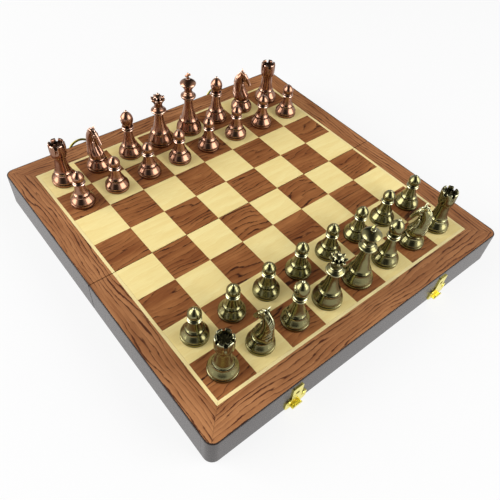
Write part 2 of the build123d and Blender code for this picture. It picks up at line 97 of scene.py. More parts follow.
def place(tree, kind, sockets=None, **settings):
    """One shader node: settings are its own options, sockets are numbers to set or links to make."""
    made = tree.nodes.new("ShaderNode" + kind)
    for key, value in settings.items():
        setattr(made, key, value)
    for key, value in (sockets or {}).items():
        if isinstance(value, bpy.types.NodeSocket):
            tree.links.new(value, made.inputs[key])
        else:
            made.inputs[key].default_value = value
    return made


def mixed(tree, share, first, second):
    """A colour between two, by a share of 0 to 1."""
    made = tree.nodes.new("ShaderNodeMix")
    made.data_type = "RGBA"
    for index, value in ((0, share), (6, first), (7, second)):
        if isinstance(value, bpy.types.NodeSocket):
            tree.links.new(value, made.inputs[index])
        else:
            made.inputs[index].default_value = value
    return made.outputs[2]


world = bpy.data.worlds.new("studio_room")
bpy.context.scene.world = world
world.use_nodes = True
room = world.node_tree
direction = place(room, "TexCoord").outputs["Generated"]
sideways = place(room, "VectorMath", {0: direction, 1: level}, operation="DOT_PRODUCT").outputs["Value"]
sideways = place(room, "Math", {0: sideways}, operation="ABSOLUTE").outputs[0]
wall_edge = {"Value": sideways, "From Min": 0.3, "From Max": 0.62}
side_wall = place(room, "MapRange", wall_edge, interpolation_type="SMOOTHSTEP").outputs[0]
height = place(room, "SeparateXYZ", {0: direction}).outputs["Z"]
fading_up = {"Value": height, "From Min": 0.3, "From Max": 1.0, "To Min": 1.0, "To Max": 0.45}
ceiling = place(room, "MapRange", fading_up).outputs[0]
lit_share = place(room, "Math", {0: side_wall, 1: ceiling}, operation="MULTIPLY").outputs[0]
dark_end, lit_side = (0.05, 0.05, 0.05, 1), (0.85, 0.85, 0.85, 1)
room_tone = mixed(room, lit_share, dark_end, lit_side)
room.links.new(room_tone, room.nodes["Background"].inputs["Color"])

floor_mesh = bpy.data.meshes.new("sweep")
sweep_reach = 6.0
sweep_corners = [(x * sweep_reach, y * sweep_reach, 0) for x, y in ((-1, -1), (1, -1), (1, 1), (-1, 1))]
floor_mesh.from_pydata(sweep_corners, [], [(0, 1, 2, 3)])
sweep = bpy.data.objects.new("sweep", floor_mesh)
bpy.context.scene.collection.objects.link(sweep)
paper = bpy.data.materials.new("white_sweep")
paper.use_nodes = True
tree = paper.node_tree
shader = tree.nodes["Principled BSDF"]
shader.inputs["Base Color"].default_value = (0.86, 0.86, 0.86, 1)
shader.inputs["Roughness"].default_value = 0.9
shader.inputs["Specular IOR Level"].default_value = 0.1
rays = place(tree, "LightPath").outputs
seen = rays["Is Camera Ray"]
for other in ("Is Glossy Ray", "Is Transmission Ray"):
    seen = place(tree, "Math", {0: seen, 1: rays[other]}, operation="MAXIMUM").outputs[0]
glow = place(tree, "Emission", {"Color": (1, 1, 1, 1), "Strength": 1.0})
paper_mix = place(tree, "MixShader", {1: shader.outputs[0], 2: glow.outputs[0]})
glow_share = 0.84
share = place(tree, "Math", {0: seen, 1: glow_share}, operation="MULTIPLY")
tree.links.new(share.outputs[0], paper_mix.inputs[0])
tree.links.new(paper_mix.outputs[0], tree.nodes["Material Output"].inputs["Surface"])
floor_mesh.materials.append(paper)

# Playing squares: veneer cut square by square from streaked brown wood and from pale, almost plain
# wood, glued to the panel with the grain of all of them across the board, and varnished.


def veneer_group():
    """Figured veneer: streaks and tone that run along the first axis of the vector it is given."""
    group = bpy.data.node_groups.new("figured_veneer", "ShaderNodeTree")
    face = group.interface
    face.new_socket("Vector", in_out="INPUT", socket_type="NodeSocketVector")
    for name, value in (("Swirl", 1.0), ("Streaks", 0.5), ("Width", 1.0)):
        face.new_socket(name, in_out="INPUT", socket_type="NodeSocketFloat").default_value = value
    for name in ("Streak", "Tone", "Pore"):
        face.new_socket(name, in_out="OUTPUT", socket_type="NodeSocketFloat")
    given = group.nodes.new("NodeGroupInput").outputs
    grain = given["Vector"]
    result = group.nodes.new("NodeGroupOutput").inputs

    def stretched(along, across, **settings):
        """Noise drawn out along the grain, in features per metre."""
        pull = (along, across, across)
        drawn = place(group, "VectorMath", {0: grain, 1: pull}, operation="MULTIPLY").outputs[0]
        return place(group, "TexNoise", {"Vector": drawn, "Scale": 1.0, **settings}).outputs[0]

    def maths(operation, first, second=0.0):
        return place(group, "Math", {0: first, 1: second}, operation=operation).outputs[0]

    rings_per_metre, ripple_strength = 170, 1.3
    growth = maths("MULTIPLY", stretched(along=15, across=36, Detail=2.0, Roughness=0.45), given["Swirl"])
    ripple = stretched(along=50, across=320, Detail=4.0, Roughness=0.65)
    ripple = maths("MULTIPLY", ripple, ripple_strength)
    across = place(group, "SeparateXYZ", {0: grain}).outputs["Y"]
    ring = maths("MULTIPLY", across, maths("MULTIPLY", given["Width"], rings_per_metre))
    ring = maths("ADD", maths("ADD", ring, growth), ripple)
    saw = maths("FRACT", ring)
    crest = maths("ABSOLUTE", maths("ADD", maths("MULTIPLY", saw, 2.0), -1.0))

    streak_base, streak_patches, streak_softness = 1.85, 1.2, 0.22
    where = stretched(along=22, across=130, Detail=3.0, Roughness=0.6)
    low = maths("SUBTRACT", streak_base, given["Streaks"])
    low = maths("SUBTRACT", low, maths("MULTIPLY", where, streak_patches))
    high = maths("ADD", low, streak_softness)
    line = place(group, "MapRange", {"Value": crest, "From Min": low, "From Max": high})
    group.links.new(line.outputs[0], result["Streak"])

    tone = stretched(along=20, across=120, Detail=4.0, Roughness=0.55)
    soft = maths("ADD", maths("MULTIPLY", saw, 0.35), maths("MULTIPLY", tone, 1.6))
    tone = place(group, "MapRange", {"Value": soft, "From Min": 0.6, "From Max": 1.3})
    group.links.new(tone.outputs[0], result["Tone"])
    pore = stretched(along=130, across=2300, Detail=2.0)
    pore = place(group, "MapRange", {"Value": pore, "From Min": 0.42, "From Max": 0.75})
    group.links.new(pore.outputs[0], result["Pore"])
    return group


figured_veneer = veneer_group()


def colour(*seen):
    """A colour given as it is seen on a screen, 0 to 255, as the shader's linear values."""
    linear = []
    for share in (channel / 255 for channel in seen):
        linear.append(((share + 0.055) / 1.055) ** 2.4 if share > 0.04045 else share / 12.92)
    return (*linear, 1)


def piece_by_piece(tree):
    """Object coordinates moved to another part of the log for each square of the board."""
    spot = place(tree, "TexCoord").outputs["Object"]
    cell = place(tree, "VectorMath", {0: spot, 1: (1 / square, 1 / square, 0)}, operation="MULTIPLY")
    cell = place(tree, "VectorMath", {0: cell.outputs[0]}, operation="FLOOR").outputs[0]
    jump = place(tree, "TexWhiteNoise", {"Vector": cell}, noise_dimensions="3D").outputs["Color"]
    log_reach = (3.1, 5.3, 7.7)
    jump = place(tree, "VectorMath", {0: jump, 1: log_reach}, operation="MULTIPLY").outputs[0]
    return place(tree, "VectorMath", {0: spot, 1: jump}, operation="ADD").outputs[0]


def veneer(name, spread, swirl, streaks, width, pale, brown, dark, gloss):
    """A varnished veneer in three tones; spread gives the coordinates that its grain follows."""
    material = bpy.data.materials.new(name)
    material.use_nodes = True
    tree = material.node_tree
    shader = tree.nodes["Principled BSDF"]
    grain = tree.nodes.new("ShaderNodeGroup")
    grain.node_tree = figured_veneer
    tree.links.new(spread(tree), grain.inputs["Vector"])
    grain.inputs["Swirl"].default_value = swirl
    grain.inputs["Streaks"].default_value = streaks
    grain.inputs["Width"].default_value = width
    tint = mixed(tree, grain.outputs["Tone"], pale, brown)
    tint = mixed(tree, grain.outputs["Streak"], tint, dark)
    pore_depth = 0.22
    pore = grain.outputs["Pore"]
    pore_share = place(tree, "Math", {0: pore, 1: pore_depth}, operation="MULTIPLY").outputs[0]
    tint = mixed(tree, pore_share, tint, dark)
    tree.links.new(tint, shader.inputs["Base Color"])
    rough = place(tree, "MapRange", {"Value": pore, "To Min": gloss, "To Max": gloss + 0.12})
    tree.links.new(rough.outputs[0], shader.inputs["Roughness"])
    relief = place(tree, "Bump", {"Height": pore, "Strength": 0.12, "Distance": 0.0001})
    tree.links.new(relief.outputs[0], shader.inputs["Normal"])
    shader.inputs["Specular IOR Level"].default_value = 0.35
    return material


def dress(node, material):
    """Gives a carried-over piece its finish."""
    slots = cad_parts[node].data.materials
    slots.clear()
    slots.append(material)


varnish_gloss = 0.36
dark_square_veneer = veneer(
    "dark_square_veneer", piece_by_piece, swirl=7.0, streaks=0.44, width=1.35,
    pale=colour(174, 114, 66), brown=colour(132, 76, 40), dark=colour(60, 28, 15), gloss=varnish_gloss,
)
light_square_veneer = veneer(
    "light_square_veneer", piece_by_piece, swirl=4.0, streaks=-0.4, width=0.7,
    pale=colour(254, 235, 166), brown=colour(247, 223, 150), dark=colour(230, 200, 124), gloss=varnish_gloss,
)
for half in ("near", "far"):
    dress(f"{half}_dark_squares", dark_square_veneer)
    dress(f"{half}_light_squares", light_square_veneer)

# Stringing and border: a thin pale line, then a broad band of the streaked wood with its grain
# along each strip, mitred at the four corners and cut at the fold.


def along_each_strip(tree):
    """Object coordinates turned at the mitres so that the grain follows the strip."""
    spot = place(tree, "TexCoord").outputs["Object"]
    parts = place(tree, "SeparateXYZ", {0: spot}).outputs
    other_part_of_log = 0.37
    turned_round = place(tree, "CombineXYZ", {0: parts["Y"], 1: parts["X"], 2: other_part_of_log}).outputs[0]
    across = place(tree, "Math", {0: parts["X"]}, operation="ABSOLUTE").outputs[0]
    along = place(tree, "Math", {0: parts["Y"]}, operation="ABSOLUTE").outputs[0]
    side_strip = place(tree, "Math", {0: across, 1: along}, operation="GREATER_THAN").outputs[0]
    made = tree.nodes.new("ShaderNodeMix")
    made.data_type = "VECTOR"
    tree.links.new(side_strip, made.inputs[0])
    tree.links.new(spot, made.inputs[4])
    tree.links.new(turned_round, made.inputs[5])
    return made.outputs[1]


border_veneer = veneer(
    "border_veneer", along_each_strip, swirl=5.0, streaks=0.5, width=1.9,
    pale=colour(190, 132, 86), brown=colour(150, 96, 58), dark=colour(84, 44, 26), gloss=varnish_gloss,
)
stringing_veneer = veneer(
    "stringing_veneer", along_each_strip, swirl=2.0, streaks=-0.4, width=1.0,
    pale=colour(253, 236, 176), brown=colour(246, 224, 158), dark=colour(228, 200, 132), gloss=varnish_gloss,
)
for half in ("near", "far"):
    dress(f"{half}_border", border_veneer)
    dress(f"{half}_stringing", stringing_veneer)

# Walls: rails of plain hardwood under dark brown lacquer, rubbed to a gloss, with a rounded painted
# edge that frames the veneer.


def lacquer(name, body, haze, gloss):
    """Opaque lacquer over wood, with faint brush-out and a slightly uneven gloss."""
    material = bpy.data.materials.new(name)
    material.use_nodes = True
    tree = material.node_tree
    shader = tree.nodes["Principled BSDF"]
    spot = place(tree, "TexCoord").outputs["Object"]
    long_way = place(tree, "VectorMath", {0: spot, 1: (9, 9, 60)}, operation="MULTIPLY").outputs[0]
    cloud = place(tree, "TexNoise", {"Vector": long_way, "Scale": 1.0, "Detail": 5.0, "Roughness": 0.6})
    tint = mixed(tree, cloud.outputs[0], body, haze)
    tree.links.new(tint, shader.inputs["Base Color"])
    speck = place(tree, "TexNoise", {"Vector": spot, "Scale": 420.0, "Detail": 3.0})
    rough = place(tree, "MapRange", {"Value": speck.outputs[0], "To Min": gloss, "To Max": gloss + 0.1})
    tree.links.new(rough.outputs[0], shader.inputs["Roughness"])
    relief = place(tree, "Bump", {"Height": speck.outputs[0], "Strength": 0.02, "Distance": 0.0001})
    tree.links.new(relief.outputs[0], shader.inputs["Normal"])
    shader.inputs["Specular IOR Level"].default_value = 0.3
    return material


wall_lacquer = lacquer("wall_lacquer", body=colour(40, 33, 31), haze=colour(56, 47, 45), gloss=0.22)
for half in ("near", "far"):
    dress(f"{half}_rails", wall_lacquer)

# Panel and lining: a thin plywood panel let into the rails, with felt glued to its underside where
# the men lie when the box is folded.
plain_wood = veneer(
    "panel_wood", along_each_strip, swirl=5.0, streaks=0.1, width=0.7,
    pale=colour(206, 170, 122), brown=colour(188, 148, 100), dark=colour(150, 108, 70), gloss=0.6,
)


def felt(name, nap, shade):
    """Pressed felt: matted fibres with a soft sheen."""
    material = bpy.data.materials.new(name)
    material.use_nodes = True
    tree = material.node_tree
    shader = tree.nodes["Principled BSDF"]
    spot = place(tree, "TexCoord").outputs["Object"]
    matting = {"Scale": 1800.0, "Detail": 6.0, "Roughness": 0.7, "Distortion": 1.2}
    fibre = place(tree, "TexNoise", {"Vector": spot, **matting})
    patch = place(tree, "TexNoise", {"Vector": spot, "Scale": 60.0, "Detail": 3.0})
    tint = mixed(tree, fibre.outputs[0], shade, nap)
    tint = mixed(tree, patch.outputs[0], tint, nap)
    tree.links.new(tint, shader.inputs["Base Color"])
    shader.inputs["Roughness"].default_value = 0.95
    shader.inputs["Sheen Weight"].default_value = 0.4
    relief = place(tree, "Bump", {"Height": fibre.outputs[0], "Strength": 0.5, "Distance": 0.0004})
    tree.links.new(relief.outputs[0], shader.inputs["Normal"])
    return material


lining_felt = felt("lining_felt", nap=colour(112, 30, 36), shade=colour(66, 14, 20))
for half in ("near", "far"):
    dress(f"{half}_panel", plain_wood)
    dress(f"{half}_lining", lining_felt)

# Fold hinges and latches: stamped from sheet brass, brightly plated in a lemon yellow, with small scratches
# and duller patches.


def plated_brass(name, bright, dull, gloss):
    """Thin bright plating with fine rub marks."""
    material = bpy.data.materials.new(name)
    material.use_nodes = True
    tree = material.node_tree
    shader = tree.nodes["Principled BSDF"]
    spot = place(tree, "TexCoord").outputs["Object"]
    patch = place(tree, "TexNoise", {"Vector": spot, "Scale": 260.0, "Detail": 4.0})
    tint = mixed(tree, patch.outputs[0], bright, dull)
    tree.links.new(tint, shader.inputs["Base Color"])
    drawn = place(tree, "VectorMath", {0: spot, 1: (300, 300, 6000)}, operation="MULTIPLY").outputs[0]
    rub = place(tree, "TexNoise", {"Vector": drawn, "Scale": 1.0, "Detail": 3.0})
    rough = place(tree, "MapRange", {"Value": rub.outputs[0], "To Min": gloss, "To Max": gloss + 0.18})
    tree.links.new(rough.outputs[0], shader.inputs["Roughness"])
    shader.inputs["Metallic"].default_value = 1.0
    return material


yellow_brass = plated_brass(
    "yellow_brass", bright=colour(250, 240, 128), dull=colour(234, 218, 96), gloss=0.2,
)
for node in (
    "near_hinge_leaves", "far_hinge_leaves", "hinge_pins", "latch_hook_plates",
    "latch_loop_brackets", "latch_loop_left", "latch_loop_right", "latch_loop_pins",
):
    dress(node, yellow_brass)

# Screws: brass wood screws with slotted heads. Countersunk ones, almost flush, hold the hinge
# leaves, and round-headed ones hold the latches' hook plates and brackets to the walls.
millimetre = 0.001
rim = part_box("near_rails")[0][2]
wall_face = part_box("near_rails")[1][0]
latch_places = (-0.078, 0.078)
hinge_places = (-0.075, 0.075)
hook_metal_face, bracket_face = 0.001, 0.0008
hook_screw_aside, hook_screw_height = 0.0066, 0.0078
bracket_screw_aside, bracket_screw_height = 0.0045, 0.0193
hinge_screw_pitch, hinge_screw_from_fold = 0.0125, 0.0052
slot_half_width = 0.24
slot_floor = 0.03
screw_sharp_above = math.radians(35)


def smooth_curve(points, step):
    """Points a step apart along a curve that passes smoothly through the given ones."""
    given = [Vector(point) for point in points]
    given = [2 * given[0] - given[1]] + given + [2 * given[-1] - given[-2]]
    made = []
    for before, start, end, after in zip(given, given[1:], given[2:], given[3:]):
        parts = max(1, round((end - start).length / step))
        for t in (part / parts for part in range(parts)):
            made.append(
                start
                + (end - before) * t / 2
                + (2 * before - 5 * start + 4 * end - after) * t**2 / 2
                + (3 * start - before - 3 * end + after) * t**3 / 2
            )
    return made + [given[-2]]


def turned(runs, sides=72, step=0.4, shape=None):
    """A solid turned about its own axis from smooth runs of (radius, height), in millimetres.

    shape, where given, moves a point of the surface: (radius, height, angle) to (radius, height)."""
    outline = []
    for run in runs:
        curve = smooth_curve(run, step)
        outline += curve[1:] if outline else curve
    build = bmesh.new()
    rings = []
    on_axis = 1e-4
    for radius, height in outline:
        if radius < on_axis:
            rings.append([build.verts.new((0, 0, height))])
            continue
        ring = []
        for side in range(sides):
            angle = 2 * math.pi * side / sides
            r, z = shape(radius, height, angle) if shape else (radius, height)
            ring.append(build.verts.new((r * math.cos(angle), r * math.sin(angle), z)))
        rings.append(ring)
    for low, high in zip(rings, rings[1:]):
        for side in range(sides):
            after = (side + 1) % sides
            if len(low) == 1:
                build.faces.new((low[0], high[after], high[side]))
            elif len(high) == 1:
                build.faces.new((low[side], low[after], high[0]))
            else:
                build.faces.new((low[side], low[after], high[after], high[side]))
    return build


def joined(*builds):
    """Several bodies as one mesh."""
    whole = builds[0]
    for other in builds[1:]:
        copies = {vert: whole.verts.new(vert.co) for vert in other.verts}
        for face in other.faces:
            whole.faces.new([copies[vert] for vert in face.verts])
        other.free()
    whole.verts.index_update()
    return whole


def slotted(radius, height, angle):
    """Lowers the middle of a screw's head along a straight slot."""
    across = radius * math.sin(angle)
    return radius, min(height, slot_floor) if abs(across) < slot_half_width else height


round_head = [[(1.7, 0), (1.68, 0.12), (1.5, 0.32), (1.1, 0.45), (0.6, 0.52), (0, 0.54)]]
flat_head = [
    [(1.9, 0), (1.9, 0.03)],
    [(1.9, 0.03), (1.75, 0.1), (1.6, 0.12), (0.8, 0.13), (0, 0.13)],
]


def screws(name, head, body, outward, turn_step, spots):
    """Screw heads of one fitting, standing on its face, as one piece on its body."""
    facing = Vector((0, 0, 1)).rotation_difference(Vector(outward)).to_matrix().to_4x4()
    heads = []
    for count, spot in enumerate(spots):
        build = turned(head, sides=64, step=0.12, shape=slotted)
        turn = Matrix.Rotation(math.radians(turn_step * count), 4, "Z")
        seat = Matrix.Translation(spot) @ facing @ turn @ Matrix.Scale(millimetre, 4)
        bmesh.ops.transform(build, matrix=seat, verts=build.verts)
        heads.append(build)
    whole = joined(*heads)
    bmesh.ops.recalc_face_normals(whole, faces=whole.faces)
    mesh = bpy.data.meshes.new(name)
    whole.to_mesh(mesh)
    whole.free()
    mesh.shade_smooth()
    mesh.set_sharp_from_angle(angle=screw_sharp_above)
    mesh.materials.append(yellow_brass)
    piece = bpy.data.objects.new(name, mesh)
    bpy.context.scene.collection.objects.link(piece)
    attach(piece, body)


screws("hook_plate_screws", round_head, "near_half", outward=(0, -1, 0), turn_step=37, spots=[
    (x + side * hook_screw_aside, -wall_face - hook_metal_face, rim + hook_screw_height)
    for x in latch_places for side in (-1, 1)
])
screws("bracket_screws", round_head, "far_half", outward=(0, 1, 0), turn_step=53, spots=[
    (x + side * bracket_screw_aside, wall_face + bracket_face, rim + bracket_screw_height)
    for x in latch_places for side in (-1, 1)
])
for body, side in (("near_half", -1), ("far_half", 1)):
    screws(f"{body}_hinge_screws", flat_head, body, outward=(0, 0, -1), turn_step=41, spots=[
        (x + along * hinge_screw_pitch, side * hinge_screw_from_fold, rim)
        for x in hinge_places for along in (-1, 0, 1)
    ])

# Chessmen: every man is cast in zinc alloy with the same kind of turned foot, whose shoulder falls to a ring
# under the stem. The helpers here give that foot, and the wear that handling leaves, with darkening of
# sheltered places that is partly patina and partly painted shade.


def foot(radius, ring_radius, ring_height):
    """The runs that every man has below his stem: foot, groove, full shoulder, cut and ring."""
    shoulder_top, shoulder_radius = 4.4, radius - 0.3
    fall = radius - ring_radius - 0.65
    rise = ring_height - 4.7
    shoulder = [(shoulder_radius, shoulder_top)]
    for inward, upward in ((0.22, 0.24), (0.55, 0.52), (0.88, 0.82)):
        shoulder.append((shoulder_radius - inward * fall, shoulder_top + upward * rise))
    shoulder.append((ring_radius + 0.35, ring_height - 0.3))
    return [
        [(0, 0), (radius - 0.6, 0)],
        [(radius - 0.6, 0), (radius - 0.15, 0.3), (radius, 0.9), (radius, 2.0), (radius - 0.2, 2.7)],
        [(radius - 0.2, 2.7), (radius - 0.75, 3.0), (radius - 0.85, 3.3)],
        [(radius - 0.85, 3.3), (radius - 0.5, 3.55)] + shoulder,
        [shoulder[-1], (ring_radius - 0.35, ring_height - 0.15), (ring_radius - 0.4, ring_height + 0.15)],
        [
            (ring_radius - 0.4, ring_height + 0.15), (ring_radius - 0.06, ring_height + 0.4),
            (ring_radius, ring_height + 0.8), (ring_radius - 0.35, ring_height + 1.3),
        ],
    ]


ray_count = 16
ray_length = 6.0
ray_spread = 0.93
lift_off = 0.05
golden_angle = math.pi * (3 - math.sqrt(5))
least_spacing = 0.05
# How much shelter darkens a casting: partly patina in its hollows, partly painted shade.
least_rubbing_and_light, rubbing_and_light_gain, rubbing_and_light_power = 0.1, 1.15, 1.3
casting_sharp_above = math.radians(38)


def openness(build):
    """How far each point is open to rubbing and to light, 0 to 1: the share of short rays that get away past
    the casting and the board, used for patina and painted shade.
    """
    tree = BVHTree.FromBMesh(build)
    spread = []
    for ray in range(ray_count):
        rise = 1 - (ray + 0.5) / ray_count * ray_spread
        flat = math.sqrt(1 - rise * rise)
        turn = ray * golden_angle
        spread.append(Vector((math.cos(turn) * flat, math.sin(turn) * flat, rise)))
    share = []
    for vert in build.verts:
        lift = Vector((0, 0, 1)).rotation_difference(vert.normal)
        start = vert.co + vert.normal * lift_off
        away = 0
        for ray in spread:
            way = lift @ ray
            # Rays that meet the board count as blocked, so the board casts painted shade onto the foot.
            over_board = way.z >= 0 or -start.z / way.z > ray_length
            away += over_board and tree.ray_cast(start, way, ray_length)[0] is None
        share.append(away / ray_count)
    return share


def finished_mesh(name, build):
    """The mesh of a casting, in metres, with wear and painted shade: 0 in grooves, about 0.5 on the flat, 1
    on edges, lower where the casting or the board shelters a point, as patina in hollows and as painted
    shade.
    """
    bmesh.ops.recalc_face_normals(build, faces=build.faces)
    build.normal_update()
    build.verts.index_update()
    build.verts.ensure_lookup_table()
    bent = []
    for vert in build.verts:
        around = [edge.other_vert(vert).co for edge in vert.link_edges]
        middle = sum(around, Vector()) / len(around)
        spacing = sum((other - vert.co).length for other in around) / len(around)
        bent.append((vert.co - middle).dot(vert.normal) / max(spacing, least_spacing) ** 2)
    shares = openness(build)
    wear_and_shade = []
    for vert in build.verts:
        around = [edge.other_vert(vert).index for edge in vert.link_edges]
        curve = (bent[vert.index] + sum(bent[other] for other in around) / len(around)) / 2
        share = (shares[vert.index] + sum(shares[other] for other in around) / len(around)) / 2
        edge_wear = min(1.0, max(0.0, 0.5 + curve))
        # Sheltered points come out darker: partly patina kept in the casting's hollows, partly painted
        # shade, from the board too.
        rubbing_and_light_reach = min(1.0, least_rubbing_and_light + rubbing_and_light_gain * share**rubbing_and_light_power)
        wear_and_shade.append(edge_wear * rubbing_and_light_reach)
    mesh = bpy.data.meshes.new(name)
    bmesh.ops.scale(build, vec=(millimetre,) * 3, verts=build.verts)
    build.to_mesh(mesh)
    build.free()
    mesh.attributes.new("wear_and_shade", "FLOAT", "POINT").data.foreach_set("value", wear_and_shade)
    mesh.shade_smooth()
    mesh.set_sharp_from_angle(angle=casting_sharp_above)
    return mesh


# Pawn: the smallest man, 33 mm tall and cast in one piece, with a short waisted stem, a double
# collar and an onion-shaped head. Its runs, as those of the other men, are (radius, height).
pawn_runs = foot(10.3, 6.6, 9.9) + [
    [(6.25, 11.2), (5.5, 12.4), (4.6, 15.4), (3.85, 18.8), (3.6, 20.4)],
    [(3.6, 20.4), (4.9, 20.75), (5.2, 21.3), (4.9, 21.8), (4.3, 22.1)],
    [(4.3, 22.1), (4.15, 22.4), (4.6, 22.75), (4.75, 23.1), (4.3, 23.5), (4.1, 23.8)],
    [
        (4.1, 23.8), (4.75, 25.0), (5.0, 26.4), (4.75, 27.9), (3.9, 29.5), (2.5, 31.1),
        (1.3, 32.0), (0.75, 32.5), (0, 32.7),
    ],
]

# Rook: a cast tower with six rounded merlons round a dished top. The gaps between the merlons run
# on below them as shallow flutes in the outside of the head.
rook_gaps = 6
gap_edge, gap_softness = 0.62, 0.3
gap_floor, gap_left = 36.6, 0.06
flute_foot, flute_fade, flute_depth = 31.5, 2.5, 0.55
outside_of_head = 5


def battlements(radius, height, angle):
    """Lowers the rim to the gaps' floor between the merlons, and hollows a flute under each gap."""
    if height < flute_foot:
        return radius, height
    gap = 0.5 + 0.5 * math.cos(rook_gaps * angle)
    gap = min(1.0, max(0.0, (gap - gap_edge) / gap_softness))
    gap = gap * gap * (3 - 2 * gap)
    if radius > outside_of_head:
        radius -= flute_depth * gap * min(1.0, (height - flute_foot) / flute_fade)
    if height > gap_floor:
        height = gap_floor + (height - gap_floor) * (1 - (1 - gap_left) * gap)
    return radius, height


rook_runs = foot(11.0, 7.2, 10.5) + [
    [(6.85, 11.8), (6.2, 13.3), (5.6, 17.0), (5.1, 22.0), (5.0, 25.0), (5.15, 26.6)],
    [
        (5.15, 26.6), (5.9, 27.0), (6.45, 28.0), (6.7, 29.4), (6.85, 31.0), (6.9, 33.2),
        (6.95, 35.5), (6.9, 38.0), (6.75, 39.4),
    ],
    [(6.75, 39.4), (6.35, 39.95), (5.6, 40.0), (5.0, 39.7)],
    [(5.0, 39.7), (4.6, 38.6), (4.3, 37.4), (3.6, 36.9), (2.0, 36.8), (0, 37.0)],
]

# Bishop: a slender cast stem with a double collar, and on it a pointed mitre with a bead on top.
# The mitre has the usual slanting cut, sawn into its front before plating.
mitre_foot = 33
cut_slope, cut_height, cut_half_width, cut_depth = 0.75, 40.6, 0.55, 0.85
cut_middle, cut_end, cut_runout, cut_steepness = 3.0, -1.5, 1.2, 2.2


def mitre_cut(radius, height, angle):
    """Sinks a slanting groove into the front of the mitre, running out towards its sides."""
    forward = radius * math.cos(angle)
    if height < mitre_foot or forward < cut_end:
        return radius, height
    away = abs(height - cut_height - cut_slope * (forward - cut_middle)) / math.hypot(1, cut_slope)
    depth = max(0.0, 1 - away / cut_half_width)
    reach = min(1.0, max(0.0, (forward - cut_end) / cut_runout))
    return radius - cut_depth * min(1.0, cut_steepness * depth) * reach, height


bishop_runs = foot(10.7, 7.0, 10.7) + [
    [(6.65, 12.0), (5.8, 13.5), (4.75, 17.2), (3.9, 22.0), (3.35, 25.6), (3.3, 26.4)],
    [(3.3, 26.4), (4.9, 26.75), (5.45, 27.4), (5.1, 28.1), (4.4, 28.4)],
    [(4.4, 28.4), (4.3, 28.8), (4.9, 29.2), (5.05, 29.7), (4.5, 30.2), (3.6, 30.6)],
    [
        (3.6, 30.6), (3.7, 31.4), (4.6, 33.0), (5.3, 35.0), (5.5, 37.0), (5.2, 39.2),
        (4.35, 41.2), (2.9, 43.0), (1.5, 44.1), (1.0, 44.4),
    ],
    [(1.0, 44.4), (1.15, 44.9), (1.05, 45.5), (0.6, 45.9), (0, 46.0)],
]

# Queen: a tall cast stem with a broad collar, and a coronet whose rim is cut into eight points
# that lean outwards round a small dome with a bead.
coronet_points = 8
notch_power = 1.4
coronet_foot, coronet_full, coronet_inside = 42.0, 44.4, 3.6
notch_depth, point_lean = 1.9, 0.25
notch_foot, notch_full, notch_drop = 44.0, 45.5, 1.3


def coronet(radius, height, angle):
    """Draws the rim out into points and sinks the notches between them."""
    if height < coronet_foot or radius < coronet_inside:
        return radius, height
    point = 0.5 + 0.5 * math.cos(coronet_points * angle)
    notch = (1 - point) ** notch_power
    rise = min(1.0, (height - coronet_foot) / (coronet_full - coronet_foot))
    drop = min(1.0, max(0.0, (height - notch_foot) / (notch_full - notch_foot)))
    return radius - (notch_depth * notch - point_lean * point) * rise, height - notch_drop * notch * drop


queen_runs = foot(11.6, 8.1, 12.2) + [
    [(7.75, 13.5), (6.8, 15.0), (5.4, 19.4), (4.2, 25.0), (3.85, 29.5), (3.8, 31.0)],
    [(3.8, 31.0), (5.0, 31.5), (5.5, 32.1), (5.3, 32.6)],
    [(5.3, 32.6), (6.4, 33.1), (6.9, 33.9), (6.7, 34.7), (5.9, 35.2)],
    [(5.9, 35.2), (5.0, 36.0), (4.3, 36.9)],
    [
        (4.3, 36.9), (4.35, 37.4), (3.7, 38.0), (3.5, 39.2), (3.8, 41.0), (4.7, 43.0),
        (5.9, 44.8), (6.35, 46.2),
    ],
    [(6.35, 46.2), (6.1, 46.7), (5.2, 46.7), (4.6, 46.0), (4.2, 45.9)],
    [(4.2, 45.9), (4.1, 47.0), (3.4, 48.3), (2.2, 49.2), (1.1, 49.6)],
    [(1.1, 49.6), (1.2, 50.2), (1.05, 50.9), (0.6, 51.3), (0, 51.4)],
]

# King: the tallest man, 60 mm with his cross. A cast stem with a broad collar carries a flared
# cup under a low dome, and the cross stands on the dome's bead.
king_runs = foot(12.1, 8.4, 12.5) + [
    [(8.05, 13.8), (7.1, 15.5), (5.7, 20.3), (4.4, 26.0), (3.8, 31.5), (3.7, 33.8)],
    [(3.7, 33.8), (4.9, 34.3), (5.5, 35.0), (5.3, 35.6)],
    [(5.3, 35.6), (6.5, 36.2), (7.0, 37.2), (6.8, 38.2), (5.9, 38.8)],
    [(5.9, 38.8), (4.9, 39.6), (4.2, 40.6)],
    [
        (4.2, 40.6), (4.2, 41.1), (3.6, 41.8), (3.45, 43.0), (3.9, 44.6), (5.2, 46.8),
        (6.7, 48.8), (7.25, 49.8),
    ],
    [(7.25, 49.8), (7.35, 50.2), (7.1, 50.7)],
    [(7.1, 50.7), (6.5, 51.4), (5.2, 52.4), (3.4, 53.3), (1.9, 53.8)],
    [(1.9, 53.8), (1.7, 54.1), (2.0, 54.5), (1.9, 55.0), (1.1, 55.4), (0, 55.4)],
]


